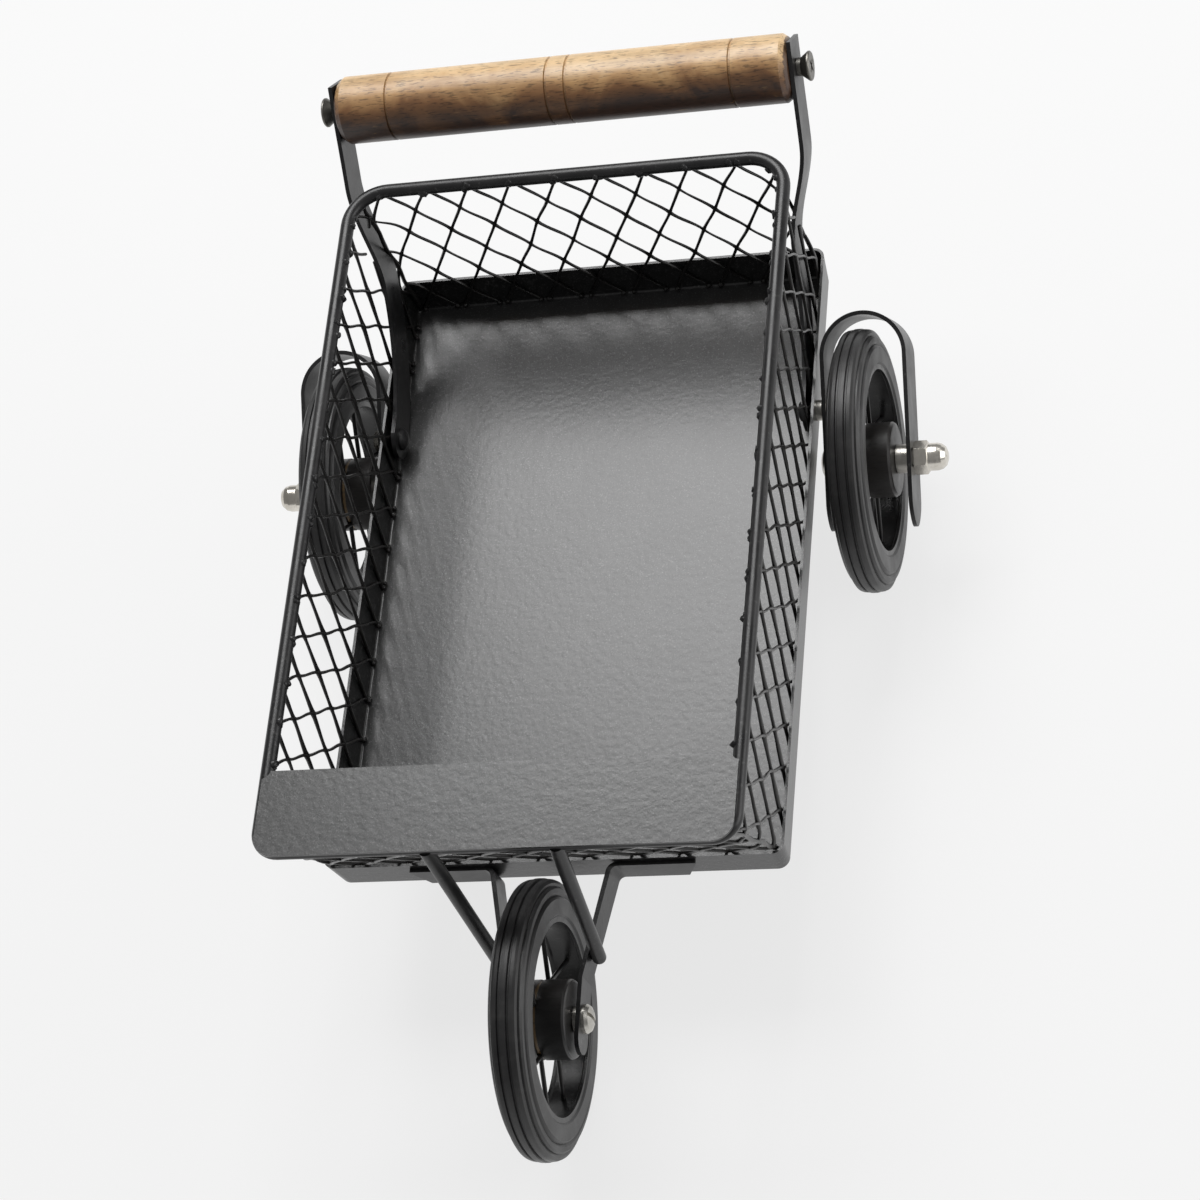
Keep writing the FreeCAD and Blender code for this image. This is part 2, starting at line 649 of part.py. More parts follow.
def main():
    os.makedirs(OUT, exist_ok=True)

    bolt_holes = [x_cylinder(FORK_BOLT_R, s * 100 - 20, s * 100 + 20, FORK_BOLT_Y, FORK_BOLT_Z)
                  for s in (-1, 1)]
    tray = lean(make_tray())
    for hole in bolt_holes:
        tray = tray.cut(hole)
    rim = lean(make_rim())
    export("tray", tray)
    export("rim_rod", rim)
    export("front_lip_plate", lean(make_lip_plate()))

    strut = make_strut(rim)
    struts = {"right": strut, "left": mirror_x(strut)}
    for side, shape in struts.items():
        export("front_strut_" + side, shape)

    side_mesh = lean(make_side_mesh())
    clear = x_cylinder(FORK_BOLT_R + 0.6, 80, 120, FORK_BOLT_Y, FORK_BOLT_Z)
    side_mesh = biggest(side_mesh.cut(clear))
    export("mesh_right", side_mesh)
    export("mesh_left", mirror_x(side_mesh))
    export("mesh_rear", lean(make_rear_mesh()))
    front_mesh = lean(make_front_mesh())
    for shape in struts.values():
        front_mesh = front_mesh.cut(shape)
    export("mesh_front", biggest(front_mesh))

    screw = make_handle_screw()
    grip = make_grip()
    bores = [x_cylinder(SCREW_TIP_R, GRIP_HALF - 24.0, GRIP_HALF + 1, GRIP_Y, GRIP_Z),
             x_cylinder(SCREW_TIP_R, -GRIP_HALF - 1, -GRIP_HALF + 24.0, GRIP_Y, GRIP_Z)]
    for bore in bores:
        grip = grip.cut(bore)
    export("handle_grip", grip)

    pairs = {
        "handle_screw": screw,
        "handle_strap": make_strap(),
        "rear_fork": make_rear_fork(),
        "fork_bolt": make_fork_bolt(),
        "fork_spacer": make_fork_spacer(tray),
        "fork_nut": make_fork_nut(),
        "rear_axle": make_rear_axle(),
        "rear_axle_washer": ring_x(7.6, REAR_AXLE_R, FORK_INNER + FORK_T, REAR_X - HUB_HALF - 0.3,
                                   REAR_Y, WHEEL_R),
        "rear_axle_spacer": ring_x(6.4, REAR_AXLE_R, REAR_X + HUB_HALF + 0.3, FORK_OUTER - FORK_T,
                                   REAR_Y, WHEEL_R),
        "cap_nut": make_cap_nut(),
        "front_fork_leg": make_front_leg(),
        "front_axle_washer": ring_x(5.6, FRONT_AXLE_R, HUB_HALF + 0.3, LEG_X - LEG_T / 2,
                                    FRONT_Y, WHEEL_R),
    }
    for name, shape in pairs.items():
        export(name + "_right", shape)
        export(name + "_left", mirror_x(shape))

    export("front_axle_screw", make_front_screw())
    export("front_axle_nut", make_front_nut())

    wheels = [("rear_right", REAR_X, REAR_Y, REAR_AXLE_R), ("rear_left", -REAR_X, REAR_Y, REAR_AXLE_R),
              ("front", 0.0, FRONT_Y, FRONT_AXLE_R)]
    for name, x, y, axle_r in wheels:
        export(name + "_tyre", make_tyre(x, y))
        export(name + "_rim_band", make_band(x, y))
        export(name + "_hub", make_hub(x, y, axle_r + RUNNING))
        export(name + "_spokes", make_spokes(x, y))


main()
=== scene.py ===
import json
import math
import random

import bpy
from mathutils import Matrix, Vector


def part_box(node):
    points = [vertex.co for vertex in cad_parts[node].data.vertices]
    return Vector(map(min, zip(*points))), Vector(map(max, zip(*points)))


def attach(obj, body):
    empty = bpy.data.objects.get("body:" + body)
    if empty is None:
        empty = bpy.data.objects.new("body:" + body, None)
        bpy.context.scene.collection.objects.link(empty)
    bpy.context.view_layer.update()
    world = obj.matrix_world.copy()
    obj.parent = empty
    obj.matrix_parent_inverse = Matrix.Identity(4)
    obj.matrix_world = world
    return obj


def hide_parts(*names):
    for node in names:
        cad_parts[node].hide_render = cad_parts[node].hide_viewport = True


# Looks for the small three-wheeled wheelbarrow. Metres, in the CAD frame:
# +Z up, front wheel towards -Y, handle towards +Y, ground at Z = 0.

MM = 0.001

# ---- camera
CAMERA_AT = Vector((0.4260, -0.7451, 1.3160))
CAMERA_AHEAD = Vector((-0.2753, 0.5025, -0.8196))
CAMERA_UP = Vector((0.0529, 0.8591, 0.5090))
LENS = 105.0
SENSOR = 36.0

# ---- basket, described level and then leaned forward about a line just above the side wheels' axle
TILT = math.radians(2.2)
PIVOT = Vector((0, 90, 64))
SIDE_FOOT = 96.9
SIDE_TOP = 99.0
REAR_FOOT = 183.9
REAR_TOP = 185.5
FRONT_FOOT = -106.7
FRONT_TOP = -136.0
FOOT_Z = 66.6
FRONT_FOOT_Z = 80.0
RIM_Z = 157.0
RIM_R = 3.0
WALL_H = RIM_Z - FOOT_Z
FRONT_START = FRONT_FOOT_Z - FOOT_Z
MIDDLE_Y = 25.0
# corner radii at the foot and at the rim
REAR_CORNER = (4.0, 17.0)
FRONT_CORNER = (3.0, 9.0)
# edge of the side netting where the handle's strap passes, as distance along the wall and height
STRAP_GAP = [(183.5, 42.0), (166.4, 64.0), (174.0, 73.4)]

# ---- netting: pairs are for the heavy strands and the light ones
STRANDS = (1.95, 1.25)
REAR_STRANDS = (1.35, 0.9)
NET_T = 1.4
TWISTS = (0.35, 0.5)
CORNER_TWIST = 0.2
SWING_ALONG = 0.96
SWINGS_ACROSS = (0.04, 0.22)
# how far a crossing may be off the lattice, along the wall and up it
JITTER = (0.5, 0.7)
# crossings tried each way from the first, and how far past the wall one still counts
LATTICE_REACH = 40
LATTICE_MARGIN = 25
# steps between two crossings, round a strand, and in the search for a wall's edge
STEPS = 8
SECTION_STEPS = 10
EDGE_HALVINGS = 12
# strands swell at their crossings, and vary a little in width and twist
SWELL = 0.30
SWELL_REACH = 1.7
WIDTH_RANGE = (0.97, 1.03)
PHASE_RANGE = (-0.2, 0.2)
WAVE = 0.2
# the strand in a corner wanders, and swells once in each CORNER_PITCH of height
CORNER_STEPS = 14
CORNER_PITCH = 17
CORNER_SHIFT = 4
CORNER_WANDER = 0.5
CORNER_WAVE = 0.21

# ---- weld beads: ranges of half size and rise, and how far in from the wall they sit
RIM_BEAD = (1.3, 2.4)
RIM_BEAD_RISE = (-1.2, 1.4)
RIM_BEAD_IN = RIM_R - 1.0
FOOT_BEAD = (1.0, 1.6)
FOOT_BEAD_IN = 0.6
BEAD_LUMPS = (0.82, 1.18)
BEAD_ROWS = 6
BEAD_COLUMNS = 10
# a strand that ends this near an edge of its wall is welded there
EDGE_REACH = 0.1

random.seed(41)

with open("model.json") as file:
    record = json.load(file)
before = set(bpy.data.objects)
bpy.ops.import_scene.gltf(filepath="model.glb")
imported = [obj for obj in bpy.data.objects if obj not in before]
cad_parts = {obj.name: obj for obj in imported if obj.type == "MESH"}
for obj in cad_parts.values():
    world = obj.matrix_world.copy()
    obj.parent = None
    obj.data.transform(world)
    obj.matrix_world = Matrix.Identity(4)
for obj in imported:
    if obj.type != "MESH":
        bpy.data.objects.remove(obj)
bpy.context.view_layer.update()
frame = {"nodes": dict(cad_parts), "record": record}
nodes = frame["nodes"]


# ---------------------------------------------------------------- materials

def new_material(name):
    material = bpy.data.materials.new(name)
    material.use_nodes = True
    tree = material.node_tree
    tree.nodes.clear()
    out = tree.nodes.new("ShaderNodeOutputMaterial")
    shader = tree.nodes.new("ShaderNodeBsdfPrincipled")
    tree.links.new(shader.outputs["BSDF"], out.inputs["Surface"])
    return material, tree, shader


def position(tree, stretch=(1, 1, 1)):
    """Place in the piece's own axes, in metres, with each axis multiplied by stretch."""
    where = tree.nodes.new("ShaderNodeTexCoord")
    mapping = tree.nodes.new("ShaderNodeMapping")
    mapping.inputs["Scale"].default_value = stretch
    tree.links.new(where.outputs["Object"], mapping.inputs["Vector"])
    return mapping.outputs["Vector"]


def noise(tree, vector, scale, detail=4.0, roughness=0.55, distortion=0.0):
    node = tree.nodes.new("ShaderNodeTexNoise")
    node.inputs["Scale"].default_value = scale
    node.inputs["Detail"].default_value = detail
    node.inputs["Roughness"].default_value = roughness
    node.inputs["Distortion"].default_value = distortion
    tree.links.new(vector, node.inputs["Vector"])
    return node.outputs["Fac"]


def ramp(tree, fac, stops):
    node = tree.nodes.new("ShaderNodeValToRGB")
    elements = node.color_ramp.elements
    while len(elements) < len(stops):
        elements.new(0.5)
    for element, (place, colour) in zip(elements, stops):
        element.position = place
        element.color = (*colour, 1)
    tree.links.new(fac, node.inputs["Fac"])
    return node.outputs["Color"]


def grey(value):
    return (value, value, value)


def math_node(tree, operation, a, b=None):
    node = tree.nodes.new("ShaderNodeMath")
    node.operation = operation
    for socket, value in zip(node.inputs, (a, b)):
        if value is None:
            continue
        if isinstance(value, (int, float)):
            socket.default_value = value
        else:
            tree.links.new(value, socket)
    return node.outputs[0]


def mix_colour(tree, fac, a, b, blend="MIX"):
    node = tree.nodes.new("ShaderNodeMix")
    node.data_type = "RGBA"
    node.blend_type = blend
    for socket, value in ((node.inputs["Factor"], fac), (node.inputs[6], a), (node.inputs[7], b)):
        if isinstance(value, tuple):
            socket.default_value = (*value, 1)
        elif isinstance(value, (int, float)):
            socket.default_value = value
        else:
            tree.links.new(value, socket)
    return node.outputs[2]


def bump(tree, shader, height, strength, distance, under=None):
    node = tree.nodes.new("ShaderNodeBump")
    node.inputs["Strength"].default_value = strength
    node.inputs["Distance"].default_value = distance
    tree.links.new(height, node.inputs["Height"])
    if under is not None:
        tree.links.new(under, node.inputs["Normal"])
    tree.links.new(node.outputs["Normal"], shader.inputs["Normal"])
    return node.outputs["Normal"]


def paint(name, dark, light, rub, rough, cloud=45.0, pit=0.35):
    """Satin black lacquer on steel: cloudy gloss, small pits and rubbed specks."""
    material, tree, shader = new_material(name)
    where = position(tree)
    clouds = noise(tree, where, scale=cloud, detail=5, roughness=0.6, distortion=0.4)
    fine = noise(tree, where, scale=900, detail=3, roughness=0.6)
    specks = noise(tree, where, scale=420, detail=2, roughness=0.5)
    base = ramp(tree, clouds, [(0.34, dark), (0.68, light)])
    dust = ramp(tree, specks, [(0.64, grey(0)), (0.74, grey(1))])
    base = mix_colour(tree, math_node(tree, "MULTIPLY", dust, 0.25), base, rub)
    tree.links.new(base, shader.inputs["Base Color"])
    gloss = ramp(tree, clouds, [(0.3, grey(rough - 0.07)), (0.7, grey(rough + 0.09))])
    tree.links.new(gloss, shader.inputs["Roughness"])
    shader.inputs["Specular IOR Level"].default_value = 0.36
    first = bump(tree, shader, fine, strength=pit, distance=0.00012)
    bump(tree, shader, clouds, strength=0.25, distance=0.0006, under=first)
    return material


def sheet_paint(name, lit_floor_tone, shaded_wall_tone, shine):
    """Rolled sheet under thin satin lacquer with faint marks, and painted light and shade: paler
    where it lies flat and faces up, darker on walls and flanges.
    """
    material, tree, shader = new_material(name)
    where = position(tree)
    along = position(tree, (1.0, 0.12, 1.0))
    clouds = noise(tree, where, scale=26, detail=6, roughness=0.62, distortion=0.9)
    streaks = noise(tree, along, scale=230, detail=4, roughness=0.6)
    fine = noise(tree, where, scale=800, detail=3, roughness=0.6)
    peel = noise(tree, where, scale=330, detail=2, roughness=0.5)
    grain = noise(tree, where, scale=1400, detail=2, roughness=0.5)
    geometry = tree.nodes.new("ShaderNodeNewGeometry")
    split = tree.nodes.new("ShaderNodeSeparateXYZ")
    tree.links.new(geometry.outputs["Normal"], split.inputs[0])
    # Painted light and shade by facing: upward faces take the paler tone, walls and flanges the
    # darker one.
    up_facing_lit_mask = ramp(tree, split.outputs["Z"], [(0.80, grey(0)), (0.96, grey(1))])
    tone = math_node(tree, "ADD", math_node(tree, "MULTIPLY", clouds, 0.5), 0.75)
    low = mix_colour(tree, 1.0, shaded_wall_tone, tone, "MULTIPLY")
    high = mix_colour(tree, 1.0, lit_floor_tone, tone, "MULTIPLY")
    base = mix_colour(tree, up_facing_lit_mask, low, high)
    veins = ramp(tree, streaks, [(0.42, grey(0)), (0.72, grey(1))])
    base = mix_colour(tree, math_node(tree, "MULTIPLY", veins, 0.05), base, (0.11, 0.11, 0.112))
    specks = ramp(tree, grain, [(0.58, grey(0)), (0.70, grey(1))])
    base = mix_colour(tree, math_node(tree, "MULTIPLY", specks, 0.22), base, (0.30, 0.30, 0.30))
    tree.links.new(base, shader.inputs["Base Color"])
    gloss = ramp(tree, clouds, [(0.3, grey(0.275)), (0.7, grey(0.295))])
    tree.links.new(gloss, shader.inputs["Roughness"])
    shader.inputs["Specular IOR Level"].default_value = shine
    first = bump(tree, shader, fine, strength=0.18, distance=0.0001)
    bump(tree, shader, peel, strength=0.45, distance=0.0002, under=first)
    return material


# Direction in Y and Z, the camera's up direction, towards which turned wood is painted paler:
# painted light on its upper side, painted shade below.
PAINTED_SHADE_RISE = (0.86, 0.51)


def turned_wood(name, pale, middle, deep, burnt_end_and_shade, groove, centre, half_length, radius):
    """Turned wood with grain along X and dark at its ends, with painted light and shade across Y
    and Z: paler along the camera's up direction, darkest below.
    """
    material, tree, shader = new_material(name)
    where = position(tree)
    band_grain = position(tree, (0.08, 1.0, 1.0))
    bands = noise(tree, band_grain, scale=210, detail=8, roughness=0.68, distortion=0.5)
    pores = noise(tree, position(tree, (0.16, 1.0, 1.0)), scale=1500, detail=2, roughness=0.5)
    flecks = noise(tree, position(tree, (0.22, 1.0, 1.0)), scale=620, detail=2, roughness=0.5)
    patches = noise(tree, where, scale=30, detail=4, roughness=0.6, distortion=0.6)
    split = tree.nodes.new("ShaderNodeSeparateXYZ")
    tree.links.new(where, split.inputs[0])
    # Painted light and shade: the tone rises from the darkest colour below to the pale one above,
    # with noise patches shifting the bands.
    back = math_node(tree, "SUBTRACT", split.outputs["Y"], centre.y)
    back = math_node(tree, "MULTIPLY", back, PAINTED_SHADE_RISE[0])
    up = math_node(tree, "SUBTRACT", split.outputs["Z"], centre.z)
    up = math_node(tree, "MULTIPLY", up, PAINTED_SHADE_RISE[1])
    height = math_node(tree, "DIVIDE", math_node(tree, "ADD", back, up), radius)
    level = math_node(tree, "ADD", math_node(tree, "MULTIPLY", height, 0.40), patches)
    base = ramp(tree, level, [(0.15, burnt_end_and_shade), (0.36, deep), (0.58, middle), (0.85, pale)])
    dark_bands = ramp(tree, bands, [(0.30, grey(0.66)), (0.50, grey(0.90)), (0.64, grey(1))])
    base = mix_colour(tree, 1.0, base, dark_bands, "MULTIPLY")
    dark_lines = ramp(tree, pores, [(0.35, grey(0.48)), (0.44, grey(1))])
    base = mix_colour(tree, 1.0, base, dark_lines, "MULTIPLY")
    light_flecks = ramp(tree, flecks, [(0.68, grey(0)), (0.76, grey(1))])
    base = mix_colour(tree, math_node(tree, "MULTIPLY", light_flecks, 0.35), base, middle)
    geometry = tree.nodes.new("ShaderNodeNewGeometry")
    dents = ramp(tree, geometry.outputs["Pointiness"], [(0.44, grey(1)), (0.495, grey(0))])
    base = mix_colour(tree, math_node(tree, "MULTIPLY", dents, 0.6), base, groove)
    out = math_node(tree, "ABSOLUTE", math_node(tree, "SUBTRACT", split.outputs["X"], centre.x))
    out = math_node(tree, "DIVIDE", out, half_length)
    out = math_node(tree, "ADD", out, math_node(tree, "MULTIPLY", flecks, 0.02))
    ends = ramp(tree, out, [(0.996, grey(0)), (1.0, grey(1))])
    base = mix_colour(tree, math_node(tree, "MULTIPLY", ends, 0.85), base, burnt_end_and_shade)
    tree.links.new(base, shader.inputs["Base Color"])
    gloss = ramp(tree, bands, [(0.3, grey(0.48)), (0.7, grey(0.36))])
    tree.links.new(gloss, shader.inputs["Roughness"])
    shader.inputs["Coat Weight"].default_value = 0.12
    shader.inputs["Coat Roughness"].default_value = 0.3
    first = bump(tree, shader, pores, strength=0.3, distance=0.00012)
    bump(tree, shader, bands, strength=0.2, distance=0.0003, under=first)
    return material


def plated(name, low, high, rough):
    """Bright or dulled plating with fine turning marks."""
    material, tree, shader = new_material(name)
    where = position(tree)
    clouds = noise(tree, where, scale=120, detail=5, roughness=0.6, distortion=0.5)
    fine = noise(tree, position(tree, (6.0, 1.0, 1.0)), scale=500, detail=3, roughness=0.6)
    base = ramp(tree, clouds, [(0.3, low), (0.7, high)])
    dirt = noise(tree, where, scale=300, detail=3, roughness=0.6)
    grime = ramp(tree, dirt, [(0.60, grey(0)), (0.78, grey(1))])
    base = mix_colour(tree, math_node(tree, "MULTIPLY", grime, 0.5), base, (0.10, 0.09, 0.08))
    tree.links.new(base, shader.inputs["Base Color"])
    gloss = ramp(tree, clouds, [(0.3, grey(rough)), (0.75, grey(rough + 0.16))])
    tree.links.new(gloss, shader.inputs["Roughness"])
    shader.inputs["Metallic"].default_value = 1.0
    bump(tree, shader, fine, strength=0.2, distance=0.0001)
    return material


def rubber(name):
    """Black rubber, slightly shiny, with a dusty bloom and fine moulding grain."""
    material, tree, shader = new_material(name)
    where = position(tree)
    clouds = noise(tree, where, scale=55, detail=5, roughness=0.6, distortion=0.5)
    fine = noise(tree, where, scale=1300, detail=3, roughness=0.6)
    bloom = noise(tree, where, scale=190, detail=4, roughness=0.65)
    base = ramp(tree, clouds, [(0.3, (0.008, 0.008, 0.0085)), (0.75, (0.019, 0.0185, 0.0185))])
    dust = ramp(tree, bloom, [(0.52, grey(0)), (0.75, grey(1))])
    base = mix_colour(tree, math_node(tree, "MULTIPLY", dust, 0.14), base, (0.10, 0.096, 0.092))
    tree.links.new(base, shader.inputs["Base Color"])
    gloss = ramp(tree, clouds, [(0.3, grey(0.36)), (0.7, grey(0.52))])
    tree.links.new(gloss, shader.inputs["Roughness"])
    first = bump(tree, shader, fine, strength=0.35, distance=0.00012)
    bump(tree, shader, clouds, strength=0.2, distance=0.0006, under=first)
    return material


def middle_and_size(node):
    low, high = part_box(node)
    return (low + high) / 2, (high - low) / 2


GRIP_AT, GRIP_HALF = middle_and_size("handle_grip")
HUB_AT, HUB_HALF = middle_and_size("front_hub")

looks = {
    "frame_paint": paint("black_lacquer", (0.0075, 0.0075, 0.008), (0.019, 0.0185, 0.019),
                         (0.13, 0.127, 0.123), 0.33),
    "netting_paint": paint("netting_lacquer", (0.005, 0.0046, 0.0045), (0.014, 0.013, 0.0125),
                           (0.09, 0.085, 0.08), 0.30, 130.0, 0.5),
    "wheel_paint": paint("wheel_lacquer", (0.005, 0.005, 0.005), (0.014, 0.0135, 0.0135),
                         (0.10, 0.098, 0.095), 0.32, 90.0),
    "sheet_paint": sheet_paint("sheet_lacquer", grey(0.026), grey(0.008), 0.48),
    "handle_wood": turned_wood("honey_wood", (0.64, 0.45, 0.25), (0.42, 0.245, 0.105),
                               (0.19, 0.088, 0.034), (0.052, 0.025, 0.015), (0.34, 0.21, 0.10),
                               GRIP_AT, GRIP_HALF.x, GRIP_HALF.z),
    "hub_wood": turned_wood("black_stained_wood", (0.018, 0.016, 0.015), (0.009, 0.008, 0.0078),
                            (0.004, 0.0038, 0.0036), (0.004, 0.004, 0.004), (0.40, 0.24, 0.08),
                            HUB_AT, 1.0, HUB_HALF.z),
    "tyre_rubber": rubber("tyre_rubber"),
    "bright_nickel": plated("bright_nickel", (0.50, 0.47, 0.42), (0.74, 0.71, 0.65), 0.14),
    "plated_steel": plated("dull_zinc", (0.38, 0.37, 0.34), (0.58, 0.56, 0.52), 0.26),
    "screw_metal": plated("aged_steel", (0.10, 0.097, 0.09), (0.22, 0.21, 0.19), 0.34),
}

# the lip plate: paler tone on its upward faces and darker on its edges, as painted light and shade
dull_sheet = sheet_paint("dull_sheet_lacquer", grey(0.050), grey(0.014), 0.50)

for part in frame["record"]["subparts"]:
    piece = nodes[part["node"]]
    piece.data.materials.clear()
    piece.data.materials.append(looks[part["material_slot"]])
nodes["front_lip_plate"].data.materials[0] = dull_sheet


# ---------------------------------------------------------------- netting

def lean(point):
    """From the level basket, in millimetres, to the CAD frame, in metres."""
    return (Matrix.Rotation(TILT, 3, "X") @ (point - PIVOT) + PIVOT) * MM


def mixed(pair, t):
    return pair[0] + (pair[1] - pair[0]) * t


def front_line(v):
    """Y of the front wall at a height above the foot."""
    return mixed((FRONT_FOOT, FRONT_TOP), max(0.0, v - FRONT_START) / (WALL_H - FRONT_START))


def rounded(s, limit, r):
    """Walks s along a wall that turns off in an arc of radius r; limit is the unrounded corner.

    Returns how far along the wall the point is, and how far it has come in from it.
    """
    start = limit - r
    if s <= start:
        return s, 0.0
    a = min((s - start) / r, math.pi / 2)
    return start + r * math.sin(a), r * (1 - math.cos(a))


def half_turn(limit, r):
    """Distance along the wall to the middle of its corner's arc."""
    return limit - r + r * math.pi / 4


class Wall:
    """A netting wall. u runs along it and v up it, in millimetres of the level basket.

    first is the middle of one of the netting's cells, at the rim. heavy and light are the steps
    from one crossing to the next along each kind of strand, and widths are their widths.
    """

    bottom = 0.0

    def open_at(self, u, v):
        """Whether the wall has a gap there."""
        return False

    def side_x(self, v):
        return mixed((SIDE_FOOT, SIDE_TOP), v / WALL_H)

    def rear_y(self, v):
        return mixed((REAR_FOOT, REAR_TOP), v / WALL_H)

    def radii(self, v):
        t = max(0.0, v / WALL_H)
        return mixed(REAR_CORNER, t), mixed(FRONT_CORNER, t)


class SideWall(Wall):
    def __init__(self, side):
        self.side = side
        self.name = "netting_right" if side > 0 else "netting_left"
        self.node = "mesh_right" if side > 0 else "mesh_left"
        self.first = (-126.0, WALL_H)
        self.heavy = Vector((-7.8, -18.5))
        self.light = Vector((11.3, -18.1))
        self.widths = STRANDS

    def open_at(self, u, v):
        """The gap that the handle's strap passes through."""
        for (u0, v0), (u1, v1) in zip(STRAP_GAP, STRAP_GAP[1:]):
            if v0 <= v <= v1:
                return u > mixed((u0, u1), (v - v0) / (v1 - v0))
        return False

    def limits(self, v):
        rear, front = self.radii(v)
        return -half_turn(-front_line(v), front), half_turn(self.rear_y(v), rear)

    def place(self, u, v):
        rear, front = self.radii(v)
        x = self.side_x(v)
        if u > 0:
            y, inward = rounded(u, self.rear_y(v), rear)
        else:
            y, inward = rounded(-u, -front_line(v), front)
            y = -y
        return Vector((self.side * (x - inward), y, FOOT_Z + v))


class RearWall(Wall):
    def __init__(self):
        self.name = "netting_rear"
        self.node = "mesh_rear"
        self.first = (-96.0, WALL_H)
        self.heavy = Vector((-8.4, -15.4))
        self.light = Vector((11.8, -15.7))
        self.widths = REAR_STRANDS

    def limits(self, v):
        reach = half_turn(self.side_x(v), self.radii(v)[0])
        return -reach, reach

    def place(self, u, v):
        x, inward = rounded(abs(u), self.side_x(v), self.radii(v)[0])
        return Vector((math.copysign(x, u), self.rear_y(v) - inward, FOOT_Z + v))


class FrontWall(Wall):
    bottom = FRONT_START

    def __init__(self):
        self.name = "netting_front"
        self.node = "mesh_front"
        self.first = (-95.6, WALL_H)
        self.heavy = Vector((-11.8, -15.7))
        self.light = Vector((8.4, -15.4))
        self.widths = STRANDS

    def limits(self, v):
        reach = half_turn(self.side_x(v), self.radii(v)[1])
        return -reach, reach

    def place(self, u, v):
        x, inward = rounded(abs(u), self.side_x(v), self.radii(v)[1])
        return Vector((math.copysign(x, u), front_line(v) + inward, FOOT_Z + v))


def hermite(p0, p1, m0, m1, t):
    a = 2 * t ** 3 - 3 * t ** 2 + 1
    b = t ** 3 - 2 * t ** 2 + t
    c = -2 * t ** 3 + 3 * t ** 2
    d = t ** 3 - t ** 2
    return p0 * a + m0 * b + p1 * c + m1 * d


def strands(wall):
    """Centre lines of the wall's strands, as pairs of a run and whether it is a heavy strand.

    A run is a list of pairs: a place (u, v) and its distance from the nearest crossing.
    """
    origin = Vector(wall.first) + (wall.heavy + wall.light) / 2
    low = min(wall.limits(v)[0] for v in (0, WALL_H))
    high = max(wall.limits(v)[1] for v in (0, WALL_H))
    crossings = {}
    for i in range(-LATTICE_REACH, LATTICE_REACH + 1):
        for j in range(-LATTICE_REACH, LATTICE_REACH + 1):
            p = origin + wall.heavy * i + wall.light * j
            across = low - LATTICE_MARGIN < p.x < high + LATTICE_MARGIN
            if across and -LATTICE_MARGIN < p.y < WALL_H + LATTICE_MARGIN:
                crossings[i, j] = p + Vector([random.uniform(-most, most) for most in JITTER])
    runs = []
    for heavy in (True, False):
        step = wall.heavy if heavy else wall.light
        other = wall.light if heavy else wall.heavy
        swing = step * SWING_ALONG + other * SWINGS_ACROSS[0 if heavy else 1]
        line = {}
        for (i, j), p in crossings.items():
            key = (j, i) if heavy else (i, j)
            line.setdefault(key[0], []).append((key[1], p))
        for members in line.values():
            members.sort(key=lambda m: m[0])
            samples = []
            for (k0, p0), (k1, p1) in zip(members, members[1:]):
                if k1 != k0 + 1:
                    continue
                for n in range(STEPS):
                    t = n / STEPS
                    near = min(t, 1 - t) * step.length
                    samples.append((hermite(p0, p1, swing, swing, t), near))
            runs.extend((clipped, heavy) for clipped in clip(wall, samples))
    return runs


def inside(wall, p):
    if not wall.bottom <= p.y <= WALL_H:
        return False
    low, high = wall.limits(p.y)
    return low <= p.x <= high and not wall.open_at(p.x, p.y)


def edge_point(wall, a, b):
    """The last point inside the wall on the way from a, inside, to b, outside."""
    for _ in range(EDGE_HALVINGS):
        middle = (a + b) / 2
        if inside(wall, middle):
            a = middle
        else:
            b = middle
    return a


def clip(wall, samples):
    """The stretches of a strand that lie inside its wall."""
    run = []
    last = None
    for p, near in samples:
        ok = inside(wall, p)
        if ok and not run and last is not None:
            run.append((edge_point(wall, p, last), near))
        if ok:
            run.append((p, near))
        elif run:
            run.append((edge_point(wall, run[-1][0], p), near))
            if len(run) > 2:
                yield run
            run = []
        last = p
    if len(run) > 2:
        yield run


def sweep(points, sections, vertices, faces):
    """Skins a tube of matching sections over its centre points and closes both ends."""
    first = len(vertices)
    count = len(sections[0])
    for centre, section in zip(points, sections):
        vertices.extend(centre + offset for offset in section)
    for ring in range(len(points) - 1):
        for k in range(count):
            a = first + ring * count + k
            b = first + ring * count + (k + 1) % count
            faces.append((a, b, b + count, a + count))
    faces.append(tuple(first + k for k in reversed(range(count))))
    last = first + (len(points) - 1) * count
    faces.append(tuple(last + k for k in range(count)))


def bar_section(tangent, normal, half_w, half_t, twist):
    """Ring of offsets for a flattened bar with soft corners."""
    across = tangent.cross(normal).normalized()
    out = across.cross(tangent).normalized()
    ring = []
    for k in range(SECTION_STEPS):
        a = 2 * math.pi * k / SECTION_STEPS
        c, s = math.cos(a), math.sin(a)
        x = math.copysign(abs(c) ** 0.7, c) * half_w
        y = math.copysign(abs(s) ** 0.7, s) * half_t
        x, y = x * math.cos(twist) - y * math.sin(twist), x * math.sin(twist) + y * math.cos(twist)
        ring.append(across * x + out * y)
    return ring


def wall_normal(wall, u, v):
    du = wall.place(u + 0.5, v) - wall.place(u - 0.5, v)
    dv = wall.place(u, min(v + 0.5, WALL_H)) - wall.place(u, max(v - 0.5, 0))
    return du.cross(dv).normalized()


